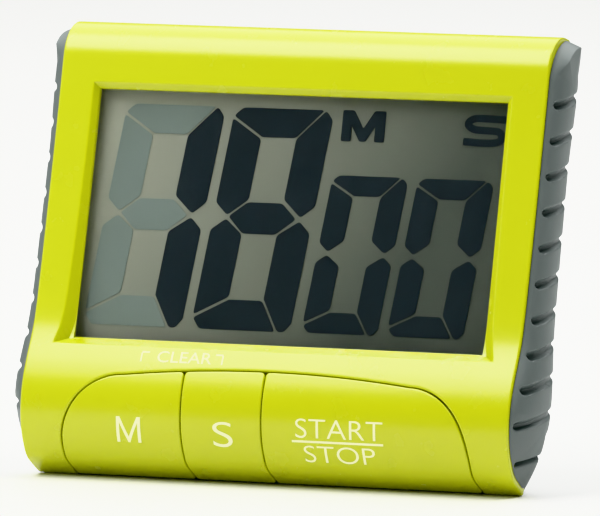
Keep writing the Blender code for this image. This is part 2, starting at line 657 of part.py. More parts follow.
def seat_on_origin():
    """Puts the foot on the floor, and the origin under the middle of the timer's depth."""
    lean_sine, lean_cosine = math.sin(LEAN), math.cos(LEAN)
    front = min(y * lean_cosine + z * lean_sine for y, z in CHIN)
    leg_outer_edge = leg_length() + STAND_THICKNESS / 2 * math.tan(STAND_SPREAD)
    rear = (HINGE[0] * lean_cosine + HINGE[1] * lean_sine
            + leg_outer_edge * math.sin(STAND_SPREAD)
            + STAND_THICKNESS / 2 * math.cos(STAND_SPREAD))
    FRAME.location = Vector((0.0, -(front + rear) / 2, FOOT_DROP)) * MM


make_front_housing()
make_rear_housing()
make_keys()
make_display()
make_board()
make_buzzer()
make_battery()
make_stand()
make_magnets()
make_fasteners()
make_leads()
seat_on_origin()
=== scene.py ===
"""Looks of the bench timer: lime shell and keys, ribbed grey body, display and lettering.

Shapes are drawn in the case's own frame, in millimetres: X to the right, Y towards the back and
Z up along the face, with Y = 0 on the upper face.  CASE turns that frame into the CAD model's.
"""
import json
import math

import bmesh
import bpy
import numpy as np
from mathutils import Matrix, Vector, geometry


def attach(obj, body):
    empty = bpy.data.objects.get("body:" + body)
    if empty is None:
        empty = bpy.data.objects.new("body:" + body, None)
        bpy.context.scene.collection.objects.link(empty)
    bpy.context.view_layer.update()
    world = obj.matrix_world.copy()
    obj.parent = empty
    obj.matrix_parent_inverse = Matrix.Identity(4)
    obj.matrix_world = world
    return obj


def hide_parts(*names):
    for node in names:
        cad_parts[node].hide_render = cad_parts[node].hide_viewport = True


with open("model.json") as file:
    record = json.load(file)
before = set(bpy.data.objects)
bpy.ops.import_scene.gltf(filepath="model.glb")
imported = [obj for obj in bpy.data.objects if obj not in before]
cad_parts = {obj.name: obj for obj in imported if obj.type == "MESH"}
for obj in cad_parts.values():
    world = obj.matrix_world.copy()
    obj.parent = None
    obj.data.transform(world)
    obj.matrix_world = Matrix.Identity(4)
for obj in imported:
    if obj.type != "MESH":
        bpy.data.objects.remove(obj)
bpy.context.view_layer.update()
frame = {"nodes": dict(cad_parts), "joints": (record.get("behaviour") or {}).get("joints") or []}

MM = 0.001                  # of a metre
GAP = 0.3                   # clearance between fitted parts

# ---- the CAD model's driving dimensions ----
FACE_WIDTH = 85.0
HEIGHT = 74.7
BACK = 18.6
WALL = 1.7
REAR_WALL = 1.8
FOLD_RADIUS = 6.5
TOP_REACH = 9.2
LIP_END = (7.6, 0.04)
WINDOW = (71.4, 41.2)
WINDOW_BASE = 21.65
APERTURE_DEPTH = 0.9
SILL_SLOPE = 0.55           # rise of the bevel under the window for each millimetre of depth
CHIN_POINTS = ((0.0, 57.0), (-0.15, 46.0), (-0.4, 35.0), (-0.65, 28.0), (-0.95, 24.2),
               (-1.5, 21.4), (-2.75, 16.8), (-3.4, 12.8), (-3.1, 9.2), (-2.1, 6.1),
               (-0.45, 3.6), (1.9, 1.55), (7.1, 0.0))
KEY_HALF_WIDTH = 35.6
KEY_TOP = 16.9
KEY_TOP_RADIUS = 210.0
KEY_CORNER = (10.6, 12.3)
KEY_SEAMS = (-14.3, -0.2)
KEY_WALL = 1.4
KEY_ENDS = 7.0
KEY_FOOT = -3.0             # below the chin's lip, so that the outline runs off its end
KEY_STEPS = (30, 50)        # points of the keys' outline round a corner and along its arch
GRIP_BULGE = (2.7, 2.0)
GREY_INSET = 0.5            # of the grey body behind the shell's face
GRIP_SPINE = (5.3, 11.0, 66.0)   # its low end is 18 in the CAD model
SHOULDER_RADIUS = 8.5
CORNER_RADIUS = 6.0
HEEL_TOP = 7.0
FLAT_BACK = 25.0
RIB_SLOTS = 11
RIB_PITCH = 5.87
RIB_FIRST = 4.1
RIB_WIDTH = 1.15
RIB_DEPTH = 1.1
RIB_START = 1.1
RIB_LENGTH = 13.0
RIB_RISE = math.radians(22.0)
FOOT = (7.9, 10.2)
FOOT_DROP = 2.0
CELL_LENGTH = 44.5
CELL_CENTRE = (0.0, 11.95, 59.0)
DOOR = (24.5, 51.6, 71.6)
HINGE = (17.0, 44.0)
STAND_HALF_WIDTH = 13.0
PIN_RADIUS = 0.8
MAGNET = (20.4, 36.0, 6.0)
BUZZER = (-24.8, 22.8, 7.0)
BOARD_BACK = 5.5
CASE_SCREWS = ((-33.0, 68.6), (33.0, 68.6), (-37.0, 14.8), (37.0, 14.8))
BOARD_SCREWS = ((-31.3, 13.6), (31.3, 13.6))

# ---- finer detail of the looks ----
CHIN_STEPS = 12             # of the smooth chin line between two of its points
EDGE_ROLL = 0.25            # radius of the moulded edges of the shell
KEY_ROLL = 0.2
WINDOW_ROLL = 0.5
WINDOW_STEPS = (56, 60)     # points along the display opening's sides, and its top and sill
SILL_ROUNDS = 20            # to find where the lower bevel meets the curved face
ROLL_STEPS = 5
LAND = 0.18                 # flat strip between a rolled edge and the surface's own points
EDGE_DROP = 0.2             # straight part of a wall below its rolled edge
PROFILE_STEP = 0.2          # between the points of the front's side view
SHELL_WALL = WALL - 0.05
SHELL_CORNER = 1.3          # radius of the shell's upper corners
SHELL_SPACING = 0.8         # of the points along its edge
SHELL_GRID = (1.8, 0.6)     # and on its surface, across and down
CAP_CORNER = 0.8            # radius of a key's corners
CAP_SPACING = 0.7
CAP_GRID = (1.2, 0.45)
RING_CLEAR = 0.5            # distance that a surface's points keep from its edges
SAME_POINT = 1e-3           # points no further apart are one
SLIVER = 4e-4               # square mm, twice the area of a triangle too thin to shade
FINE_SEAM = 0.2             # what shows of the seam round the keys
SIDE_GAP = 0.08             # between the shell's side and the grey body
ROW_SPACING = 0.17          # of the grey body's points along its side view
GRIP_LEVELS = 40            # rings of points on each grip
RIB_SOFT = 0.3              # half the width of a rib groove's rounded wall
RIB_INNER = 30.0            # grooves are only cut further out
SPINE_ANGLE = 1.2           # degrees: the grips' outermost ring is this narrow
LOW_SWELL = (0.65, 15.0, 8.5)       # extra width of the grips low down: size, height, reach
HIGH_SWELL = (0.45, 54.0, 10.0)     # and towards the top: size, where it begins, reach
HEEL_TAPER = (1.5, 1.0, 8.0)        # sharper turn below the spine: size, start, reach
LOWEST_RIB = 0.45           # of the others' width
RIB_FADE = (0.6, 9.0)       # how much of its depth a groove loses, and over what length
ROW_RISE = (-1.5, 6.5)      # heights between which the rows of points turn along the ribs
SHOULDER = (68.0, 71.0)     # heights where the grips' upper facet begins and is full
CREST = 0.86                # where that facet begins, from the spine to the outline
CHAMFER = 0.35              # round the magnets' pockets and the stand's recess
THROUGH = 30.0              # depth well behind the back, for cutters that run right out
CORNER_BEND = 0.8           # cosine of the least turn that counts as a corner


def case_frame():
    """The lean of the case, and the matrix from its own frame to the CAD model's."""
    joints = {joint["name"]: joint for joint in frame["joints"]}
    press = joints["minutes_press"]["axis"]
    lean = math.atan2(-press[2], press[1])
    pivot = Matrix.Translation(Vector(joints["stand_fold"]["pos_m"]))
    turn = Matrix.Rotation(-lean, 4, "X")
    return lean, pivot @ turn @ Matrix.Translation(Vector((0.0, -HINGE[0], -HINGE[1])) * MM)


LEAN, CASE = case_frame()


# ---- mesh building ----
def linked(name, data):
    made = bpy.data.objects.new(name, data)
    bpy.context.collection.objects.link(made)
    return made


def evaluated(made):
    graph = bpy.context.evaluated_depsgraph_get()
    return bpy.data.meshes.new_from_object(made.evaluated_get(graph))


def new_piece(name, points, faces, finish=None, sharp=40):
    """A mesh from points of the case's frame, in millimetres."""
    mesh = bpy.data.meshes.new(name)
    shape = bmesh.new()
    corners = [shape.verts.new(Vector(point) * MM) for point in points]
    for face in faces:
        shape.faces.new([corners[i] for i in face])
    bmesh.ops.recalc_face_normals(shape, faces=shape.faces)
    shape.to_mesh(mesh)
    shape.free()
    made = linked(name, mesh)
    made.matrix_world = CASE
    if finish:
        mesh.materials.append(finish)
    mesh.shade_smooth()
    mesh.set_sharp_from_angle(angle=math.radians(sharp))
    return made


def whole(ring):
    return [range(len(ring))]


def zipped(ring):
    """Triangles across a narrow upright ring, from its lowest point up between its sides."""
    size = len(ring)
    heights = [point[2] for point in ring]
    foot, peak = heights.index(min(heights)), heights.index(max(heights))
    left = [(foot + i) % size for i in range((peak - foot) % size + 1)]
    right = [(foot - i) % size for i in range((foot - peak) % size + 1)]
    faces = []
    while len(left) + len(right) > 2:
        if len(right) == 1 or (len(left) > 1 and heights[left[1]] <= heights[right[1]]):
            faces.append((left[0], right[0], left[1]))
            left.pop(0)
        else:
            faces.append((left[0], right[0], right[1]))
            right.pop(0)
    return [face for face in faces if len(set(face)) == 3]


def stack(name, rings, finish=None, ends=whole):
    """Joins rings of equal length one after another and closes both ends."""
    size = len(rings[0])
    points = [point for ring in rings for point in ring]
    last = len(points) - size
    faces = [tuple(face) for face in ends(rings[0])]
    faces += [tuple(last + i for i in face) for face in ends(rings[-1])]
    for level in range(len(rings) - 1):
        faces += band(level * size, (level + 1) * size, size)
    return new_piece(name, points, faces, finish)


def band(first, second, size):
    """Quads between two closed rings of so many points, from their first indices."""
    return [(first + i, first + (i + 1) % size, second + (i + 1) % size, second + i)
            for i in range(size)]


def along_x(name, outline, low, high):
    return stack(name, [[(x, y, z) for y, z in outline] for x in (low, high)])


def along_y(name, outline, low, high, finish=None):
    return stack(name, [[(x, y, z) for x, z in outline] for y in (low, high)], finish)


def rectangle(x, z):
    return [(x[0], z[0]), (x[1], z[0]), (x[1], z[1]), (x[0], z[1])]


def block(name, x, y, z, finish=None):
    return along_y(name, rectangle(x, z), *y, finish)


def circle(centre, radius, sides):
    turn = 2 * math.pi / sides
    return [(centre[0] + radius * math.cos(i * turn), centre[1] + radius * math.sin(i * turn))
            for i in range(sides)]


def peg(name, centre, steps, sides=32):
    """A turned piece along Y about (x, z): steps are (depth, radius) pairs from front to back."""
    return stack(name, [[(x, depth, z) for x, z in circle(centre, radius, sides)]
                        for depth, radius in steps])


def rod(name, centre, steps):
    """A turned piece along X about (y, z): steps are (x, radius) pairs."""
    return stack(name, [[(x, y, z) for y, z in circle(centre, radius, 24)] for x, radius in steps])


def cut(target, *tools):
    """Cuts tools out of target for good, and removes them."""
    for tool in tools:
        step = target.modifiers.new(tool.name, "BOOLEAN")
        step.operation = "DIFFERENCE"
        step.solver = "EXACT"
        step.object = tool
    result = evaluated(target)
    target.modifiers.clear()
    target.data = result
    for tool in tools:
        bpy.data.objects.remove(tool, do_unlink=True)


def gathered(name, tools):
    """One cutter made of several that don't touch each other."""
    shape = bmesh.new()
    for tool in tools:
        shape.from_mesh(tool.data)
        bpy.data.objects.remove(tool, do_unlink=True)
    made = new_piece(name, (), ())
    shape.to_mesh(made.data)
    shape.free()
    return made


def place(made, body, slot, *nodes):
    """Turns a finished piece into the model's frame, sets what it rides on and hides the CAD nodes
    it stands for.  The slot argument is not used."""
    made.data.transform(CASE)
    made.matrix_world = Matrix.Identity(4)
    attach(made, body)
    if nodes:
        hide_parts(*nodes)


# ---- lines ----
def smooth_through(points, steps):
    """Catmull-Rom curve through points."""
    knots = [Vector(point) for point in points]
    knots = [2 * knots[0] - knots[1], *knots, 2 * knots[-1] - knots[-2]]
    line = []
    for a, b, c, d in zip(knots, knots[1:], knots[2:], knots[3:]):
        for i in range(steps):
            t = i / steps
            line.append(tuple(0.5 * (2 * b + (c - a) * t + (2 * a - 5 * b + 4 * c - d) * t * t
                                     + (3 * b - 3 * c + d - a) * t ** 3)))
    return line + [tuple(knots[-2])]


def arc(centre, radius, start, end, steps):
    angles = [math.radians(start + (end - start) * i / steps) for i in range(steps + 1)]
    return [(centre[0] + radius * math.cos(a), centre[1] + radius * math.sin(a)) for a in angles]


def inset(line, distance):
    """Moves a line that runs over the top, down the face and under the chin inwards."""
    moved = []
    for i, (y, z) in enumerate(line):
        before, after = line[max(i - 1, 0)], line[min(i + 1, len(line) - 1)]
        dy, dz = after[0] - before[0], after[1] - before[1]
        length = math.hypot(dy, dz)
        moved.append((y - dz / length * distance, z + dy / length * distance))
    return moved


def spaced(line, spacing, closed=False):
    """Adds points to the long stretches of a line."""
    ends = line[1:] + (line[:1] if closed else [])
    made = []
    for a, b in zip(line, ends):
        count = max(1, math.ceil(math.dist(a, b) / spacing))
        made += [tuple(p + (q - p) * i / count for p, q in zip(a, b)) for i in range(count)]
    return made if closed else made + [line[-1]]


def rounded(line, radius, steps=6):
    """Rounds the corners of a closed line, and leaves its gentle bends alone."""
    ways = [(Vector(b) - Vector(a)).normalized() for a, b in zip(line, line[1:] + line[:1])]
    turned = [before.dot(after) < CORNER_BEND for before, after in zip(ways[-1:] + ways[:-1], ways)]
    corners = [point for point, corner in zip(line, turned) if corner]
    line = [point for point in line
            if point in corners or all(math.dist(point, c) > 1.2 * radius for c in corners)]
    made = []
    for before, point, after in zip(line[-1:] + line[:-1], line, line[1:] + line[:1]):
        if point not in corners:
            made.append(point)
            continue
        here = Vector(point)
        back, on = Vector(before) - here, Vector(after) - here
        room = [side.length * (0.5 if end in corners else 0.95)
                for side, end in ((back, before), (on, after))]
        reach = min(radius, *room)
        start, end = here + back.normalized() * reach, here + on.normalized() * reach
        for i in range(steps + 1):
            t = i / steps
            made.append(tuple((1 - t) ** 2 * start + 2 * t * (1 - t) * here + t * t * end))
    return made


def lengths(points):
    """Length along a line to each of its points."""
    steps = np.linalg.norm(np.diff(points, axis=0), axis=1)
    return np.concatenate([[0.0], np.cumsum(steps)])


def left_of(along):
    """Unit vectors to the left of directions."""
    along = along / np.linalg.norm(along, axis=1)[:, None]
    return np.stack([-along[:, 1], along[:, 0]], 1)


def offset(loop, distance):
    """Moves a closed loop to its left, mitred at its corners."""
    points = np.array(loop, float)
    left = left_of(np.roll(points, -1, 0) - points)
    before = np.roll(left, 1, 0)
    mitre = (left + before) / (1 + (left * before).sum(1))[:, None]
    return points + mitre * distance


class Profile:
    """Side view of the front as a smooth line, read by its length from the top's back edge."""

    def __init__(self, line):
        points = np.array(line, float)
        length = lengths(points)
        self.s = np.linspace(0.0, length[-1], int(length[-1] / PROFILE_STEP))
        self.y = np.interp(self.s, length, points[:, 0])
        self.z = np.interp(self.s, length, points[:, 1])
        dy, dz = np.gradient(self.y, self.s), np.gradient(self.z, self.s)
        size = np.hypot(dy, dz)
        self.normal_y, self.normal_z = dz / size, -dy / size
        self.face = int(np.argmax(self.z < HEIGHT - FOLD_RADIUS))

    def length_at(self, height):
        """Length down to a height on the face or the chin."""
        return np.interp(-np.asarray(height, float), -self.z[self.face:], self.s[self.face:])

    def depth_at(self, height):
        return np.interp(self.length_at(height), self.s, self.y)

    def surface(self, flat, depth):
        """Points of the case's frame from (x, -s) pairs, so far under the surface."""
        x, s = flat[:, 0], -flat[:, 1]
        y = np.interp(s, self.s, self.y) - depth * np.interp(s, self.s, self.normal_y)
        z = np.interp(s, self.s, self.z) - depth * np.interp(s, self.s, self.normal_z)
        return np.stack([x, y, z], 1)


CHIN = smooth_through(CHIN_POINTS, CHIN_STEPS)
FOLD_CENTRE = (FOLD_RADIUS, HEIGHT - FOLD_RADIUS)
FRONT = Profile([(TOP_REACH, HEIGHT)] + arc(FOLD_CENTRE, FOLD_RADIUS, 90, 180, 40) + CHIN
                + [LIP_END])


# ---- skins with rolled edges ----
def inside(points, rings):
    """Which points lie in the region between closed rings."""
    odd = np.zeros(len(points), bool)
    for ring in rings:
        start, end = ring, np.roll(ring, -1, 0)
        for (x0, y0), (x1, y1) in zip(start, end):
            if y0 == y1:
                continue
            crosses = (y0 > points[:, 1]) != (y1 > points[:, 1])
            at = x0 + (points[:, 1] - y0) * (x1 - x0) / (y1 - y0)
            odd ^= crosses & (points[:, 0] < at)
    return odd


def clear_of(points, rings, distance):
    """Which points keep a distance to all the rings' points."""
    kept = np.ones(len(points), bool)
    for ring in rings:
        for corner in ring:
            kept &= ((points - corner) ** 2).sum(1) > distance * distance
    return kept


def fill(rings, grid):
    """Triangles between closed rings of (x, -s) pairs, with a grid of points among them."""
    across, down = grid
    low = np.min([ring.min(0) for ring in rings], 0)
    high = np.max([ring.max(0) for ring in rings], 0)
    xs = np.linspace(low[0], high[0], max(2, int((high[0] - low[0]) / across)))
    vs = np.linspace(low[1], high[1], max(2, int((high[1] - low[1]) / down)))
    field = np.stack(np.meshgrid(xs, vs), -1).reshape(-1, 2)
    field = field[inside(field, rings) & clear_of(field, rings, RING_CLEAR)]
    points = np.concatenate([*rings, field])
    edges, start = [], 0
    for ring in rings:
        size = len(ring)
        edges += [(start + i, start + (i + 1) % size) for i in range(size)]
        start += size
    corners = [Vector(point) for point in points]
    _, _, faces, origin, _, _ = geometry.delaunay_2d_cdt(corners, edges, [], 0, 1e-7)
    faces = [[origin[i][0] for i in face] for face in faces]
    spots = np.array([points[face] for face in faces])
    (ax, av), (bx, bv) = (spots[:, 1] - spots[:, 0]).T, (spots[:, 2] - spots[:, 0]).T
    kept = inside(spots.mean(1), rings) & (ax * bv - av * bx > SLIVER)
    return points, [face for face, keep in zip(faces, kept) if keep]


def rolled(line, radius, turn):
    """A rounded edge inside a closed line, from the surface round through turn: its first ring
    as (x, -s) pairs, and all its rings as points in space."""
    reach = radius * math.tan(turn / 2)
    angles = [turn * i / ROLL_STEPS for i in range(ROLL_STEPS + 1)]
    section = [(reach - radius * math.sin(a), radius * (1 - math.cos(a))) for a in angles]
    section.insert(0, (reach + LAND, 0.0))
    flats = [offset(line, inward) for inward, _ in section]
    return flats[0], [FRONT.surface(flat, depth) for flat, (_, depth) in zip(flats, section)]


def skin(name, loops, thickness, grid):
    """A closed moulded skin.  A loop is a list of rings of points in space, between its first
    and its last ring as (x, -s) pairs, where the outer and the inner surface begin."""
    points, faces = [], []
    starts, ends = [], []
    for _, rings, _ in loops:
        size = len(rings[0])
        starts.append(len(points))
        ends.append(len(points) + size * (len(rings) - 1))
        for level, ring in enumerate(rings):
            if level:
                faces += band(len(points) - size, len(points), size)
            points += [tuple(point) for point in ring]
    for first, flats, depth in ((starts, [loop[0] for loop in loops], 0.0),
                                (ends, [loop[2] for loop in loops], thickness)):
        flat, triangles = fill(flats, grid)
        index = [start + i for start, ring in zip(first, flats) for i in range(len(ring))]
        fresh = flat[len(index):]
        index += [len(points) + i for i in range(len(fresh))]
        points += [tuple(point) for point in FRONT.surface(fresh, depth)]
        faces += [tuple(index[i] for i in face) for face in triangles]
    return new_piece(name, points, faces, LIME, 50)


def walled(loop, radius, thickness):
    """The rings of an edge that turns straight in, through to the inner surface."""
    line = np.array(loop, float)
    first, rings = rolled(line, radius, math.pi / 2)
    rings += [FRONT.surface(line, depth) for depth in (radius + EDGE_DROP, thickness)]
    return first, rings, line


# ---- materials ----
def linear(colour):
    """Linear light from an 8 bit display colour."""
    parts = [part / 255 for part in colour]
    return tuple(p / 12.92 if p <= 0.04045 else ((p + 0.055) / 1.055) ** 2.4 for p in parts)


class Finish:
    """A node material: a principled shader with object coordinates to build on."""

    def __init__(self, name, roughness, metallic=0.0, **sockets):
        self.material = bpy.data.materials.new(name)
        self.material.use_nodes = True
        self.nodes = self.material.node_tree.nodes
        self.links = self.material.node_tree.links
        self.shader = self.nodes["Principled BSDF"]
        self.shader.inputs["Roughness"].default_value = roughness
        self.shader.inputs["Metallic"].default_value = metallic
        for socket, value in sockets.items():
            self.shader.inputs[socket.replace("_", " ")].default_value = value
        self.place = self.nodes.new("ShaderNodeTexCoord").outputs["Object"]

    def noise(self, size, detail=2.0):
        """Noise whose features measure about so many millimetres."""
        texture = self.nodes.new("ShaderNodeTexNoise")
        texture.inputs["Scale"].default_value = 1 / (size * MM)
        texture.inputs["Detail"].default_value = detail
        self.links.new(self.place, texture.inputs["Vector"])
        return texture.outputs["Fac"]

    def blend(self, share, first, second):
        mix = self.nodes.new("ShaderNodeMix")
        mix.data_type = "RGBA"
        mix.inputs["A"].default_value = (*first, 1.0)
        mix.inputs["B"].default_value = (*second, 1.0)
        self.links.new(share, mix.inputs["Factor"])
        return mix.outputs["Result"]

    def ranged(self, value, low, high, start=0.3, end=0.7):
        """A value that runs from low to high while another runs from start to end."""
        step = self.nodes.new("ShaderNodeMapRange")
        for socket, number in (("From Min", start), ("From Max", end),
                               ("To Min", low), ("To Max", high)):
            step.inputs[socket].default_value = number
        self.links.new(value, step.inputs["Value"])
        return step.outputs["Result"]

    def colour(self, source):
        self.links.new(source, self.shader.inputs["Base Color"])

    def roughness(self, size, detail, low, high):
        drift = self.ranged(self.noise(size, detail), low, high)
        self.links.new(drift, self.shader.inputs["Roughness"])

    def bump(self, *layers):
        """Relief from (height, depth in millimetres) layers."""
        normal = None
        for height, depth in layers:
            step = self.nodes.new("ShaderNodeBump")
            step.inputs["Strength"].default_value = 1.0
            step.inputs["Distance"].default_value = depth * MM
            self.links.new(height, step.inputs["Height"])
            if normal:
                self.links.new(normal, step.inputs["Normal"])
            normal = step.outputs["Normal"]
        self.links.new(normal, self.shader.inputs["Normal"])


def plastic(name, colour, roughness, variation=0.03, grain=0.25, relief=0.004, gloss=0.04,
            **sockets):
    """Moulded plastic: faint drifts of colour and gloss, and the mould's fine texture."""
    made = Finish(name, roughness, **sockets)
    tone = linear(colour)
    drift = made.noise(14.0)
    made.colour(made.blend(drift, [part * (1 - variation) for part in tone],
                           [min(1.0, part * (1 + variation)) for part in tone]))
    made.roughness(5.0, 4.0, roughness - gloss, roughness + gloss)
    made.bump((made.noise(grain, 3.0), relief), (made.noise(9.0), relief * 2.5))
    return made.material


def metal(name, colour, roughness):
    """Plated or drawn metal with fine marks."""
    made = Finish(name, roughness, 1.0)
    tone = linear(colour)
    marks = made.noise(0.3, 4.0)
    made.colour(made.blend(marks, [part * 0.86 for part in tone], tone))
    made.roughness(2.0, 3.0, roughness - 0.08, roughness + 0.1)
    made.bump((marks, 0.002))
    return made.material


def clear_acrylic():
    made = Finish("clear_acrylic", 0.06, Transmission_Weight=1.0, IOR=1.49)
    made.shader.inputs["Base Color"].default_value = (0.97, 0.985, 0.98, 1.0)
    made.bump((made.noise(11.0), 0.004))
    return made.material


def display_ground_painted_shading():
    """The display's ground with painted shading: painted light at its upper left, painted shade
    towards its lower right corner.
    """
    made = Finish("display_ground_painted_shading", 0.42)
    way = made.nodes.new("ShaderNodeVectorMath")
    way.operation = "DOT_PRODUCT"
    # the direction along which the painted shade deepens
    fall = CASE.to_3x3() @ Vector((0.8, 0.0, -0.5))
    start = fall.dot(CASE.translation)
    way.inputs[1].default_value = fall
    made.links.new(made.place, way.inputs[0])
    share = made.ranged(way.outputs["Value"], 0.0, 1.0, start - 60 * MM, start - 2 * MM)
    # painted light colour at the upper left, painted shade colour at the lower right
    made.colour(made.blend(share, linear((202, 204, 183)), linear((98, 105, 94))))
    made.bump((made.noise(0.2, 3.0), 0.002))
    return made.material


LIME = plastic("lime_plastic", (181, 188, 28), 0.27, 0.02, 0.35, 0.0008, 0.006,
               Coat_Weight=0.12, Coat_Roughness=0.25)
GREY = plastic("grey_plastic", (94, 102, 100), 0.5, 0.05, 0.3, 0.01)
BLACK = plastic("black_plastic", (38, 38, 36), 0.5)
EPOXY = plastic("black_epoxy", (22, 22, 24), 0.22, 0.2, 0.8, 0.01)
WHITE = plastic("white_ceramic", (226, 224, 214), 0.45)
BOARD_GREEN = plastic("solder_mask", (28, 96, 52), 0.35, 0.2, 0.4, 0.006, Coat_Weight=0.4)
AMBER = plastic("amber_ribbon", (186, 120, 42), 0.3, 0.1)
CELL = plastic("cell_sleeve", (46, 62, 88), 0.3, 0.08, 0.6, 0.003, Coat_Weight=0.3)
RED = plastic("red_wire_cover", (176, 30, 28), 0.42)
WIRE_BLACK = plastic("black_wire_cover", (26, 26, 27), 0.42)
FILM = plastic("display_film", (104, 109, 92), 0.42, 0.05, 0.2, 0.002)
GLASS = plastic("display_glass", (120, 128, 112), 0.12, 0.02, 2.0, 0.001)
# the display ground's material, whose colour carries painted light and shade
GROUND = display_ground_painted_shading()
STEEL = metal("plated_steel", (196, 197, 198), 0.26)
BRASS = metal("brass_sheet", (206, 172, 96), 0.3)
INK = plastic("segment_ink", (32, 46, 53), 0.45, 0.08, 0.3, 0.001)
GHOST = plastic("segment_ghost", (147, 161, 152), 0.45, 0.05, 0.3, 0.001)
PRINT = plastic("pad_print", (236, 236, 190), 0.5, 0.03, 0.2, 0.004)
CLEAR = clear_acrylic()

NODE_FINISHES = {
    CLEAR: ("display_lens",),
    FILM: ("display_reflector",),
    GLASS: ("display_front_glass", "display_rear_glass"),
    BLACK: ("display_frame", "minutes_switch", "seconds_switch", "start_stop_switch",
            "pull_up_resistor"),
    EPOXY: ("controller_chip_blob",),
    WHITE: ("buzzer_ceramic", "ceramic_capacitor_1", "ceramic_capacitor_2",
            "minutes_switch_plunger", "seconds_switch_plunger", "start_stop_switch_plunger"),
    BOARD_GREEN: ("circuit_board",),
    AMBER: ("display_ribbon",),
    CELL: ("battery_cell",),
    RED: ("battery_lead_plus", "buzzer_lead_signal"),
    WIRE_BLACK: ("battery_lead_minus", "buzzer_lead_ground"),
    BRASS: ("buzzer_disc",),
    GREY: ("tilt_stand", "battery_door"),
    STEEL: ("battery_plus_contact", "battery_minus_contact", "battery_spring", "crystal_can",
            "board_screw_left", "board_screw_right", "stand_hinge_pin", "magnet_left",
            "magnet_right", *(f"case_screw_{end}_{side}" for end in ("upper", "lower")
                              for side in ("left", "right"))),
}


def finish_cad_nodes():
    for finish, names in NODE_FINISHES.items():
        for name in names:
            data = frame["nodes"][name].data
            data.materials.clear()
            data.materials.append(finish)


# ---- front shell and keys ----
def key_outline():
    """Edge of the keys together as (x, z), from the left foot over the top to the right foot."""
    side, top = KEY_CORNER
    flat = KEY_HALF_WIDTH - side
    bends, spans = KEY_STEPS
    corner = [(flat + side * math.sin(a), KEY_TOP - flat ** 2 / (2 * KEY_TOP_RADIUS) - top
               + top * math.cos(a)) for a in [math.pi / 2 * i / bends for i in range(1, bends + 1)]]
    arch = [(x, KEY_TOP - x * x / (2 * KEY_TOP_RADIUS))
            for x in [-flat + 2 * flat * i / spans for i in range(spans + 1)]]
    left = [(-x, z) for x, z in reversed(corner)]
    return [(-KEY_HALF_WIDTH, KEY_FOOT)] + left + arch + corner + [(KEY_HALF_WIDTH, KEY_FOOT)]


def flattened(line, end):
    """(x, -s) pairs from (x, z) points of the face or the chin, down to a length."""
    return [(x, -min(float(FRONT.length_at(z)), end)) for x, z in line]


def window_loop():
    """The display window's edge: rings from the face over its bevel to the inner surface."""
    half, top = WINDOW[0] / 2, WINDOW_BASE + WINDOW[1]
    sill = WINDOW_BASE
    for _ in range(SILL_ROUNDS):
        sill = WINDOW_BASE - SILL_SLOPE * (APERTURE_DEPTH - float(FRONT.depth_at(sill)))
    head = top + APERTURE_DEPTH
    sides, runs = ([i / count for i in range(count)] for count in WINDOW_STEPS)
    spots = ([(-1, t) for t in sides] + [(2 * t - 1, 1) for t in runs]
             + [(1, 1 - t) for t in sides] + [(1 - 2 * t, 0) for t in runs])
    outer = []
    for side, t in spots:
        z = sill + (head - sill) * t
        outer.append((side * (half + APERTURE_DEPTH - float(FRONT.depth_at(z))), z))
    near = [(side * half, WINDOW_BASE + WINDOW[1] * t) for side, t in spots]
    line = np.array(flattened(outer, math.inf))
    aperture = np.array([(x, APERTURE_DEPTH, z) for x, z in near])
    first, rings = rolled(line, WINDOW_ROLL, math.radians(45))
    inner = np.array(flattened(near, math.inf))
    floor = FRONT.surface(inner, SHELL_WALL)
    last = rings[-1]
    rings += [last + (aperture - last) * share for share in (0.15, 0.85, 0.94)]
    rings += [aperture + (floor - aperture) * share for share in (0.1, 0.3, 1.0)]
    return first, rings, inner


def make_front_shell():
    """The lime shell, with the display's opening and a notch round the keys."""
    half = FACE_WIDTH / 2
    end = float(FRONT.s[-1])
    notch = flattened(key_outline(), end)
    corners = rounded([(half, -end), (half, 0.0), (-half, 0.0), (-half, -end)], SHELL_CORNER)
    outer = spaced(notch + corners, SHELL_SPACING, closed=True)
    outer = [p for p, q in zip(outer, outer[1:] + outer[:1]) if math.dist(p, q) > SAME_POINT]
    loops = [walled(outer, EDGE_ROLL, SHELL_WALL), window_loop()]
    shell = skin("front_shell", loops, SHELL_WALL, SHELL_GRID)
    place(shell, "case", "lime_plastic", "front_housing")


def key_loop(low, high):
    """One key's edge between two seams as (x, -s) pairs, a seam inside the opening."""
    end = float(np.interp(KEY_ENDS, FRONT.y[-60:], FRONT.s[-60:]))
    inner = [(x * (1 - FINE_SEAM / KEY_HALF_WIDTH), z - FINE_SEAM) for x, z in key_outline()]
    kept = []
    for a, b in zip(inner, inner[1:] + inner[-1:]):
        if low <= a[0] <= high:
            kept.append(a)
        crossed = [limit for limit in (low, high) if (a[0] - limit) * (b[0] - limit) < 0]
        for limit in crossed:
            kept.append((limit, a[1] + (limit - a[0]) / (b[0] - a[0]) * (b[1] - a[1])))
    foot = inner[0][1]
    if kept[-1][1] > foot:
        kept.append((kept[-1][0], foot))
    if kept[0][1] > foot:
        kept.insert(0, (kept[0][0], foot))
    line = flattened(kept, end)
    return [p for p, q in zip(line, line[1:] + line[:1]) if math.dist(p, q) > SAME_POINT]


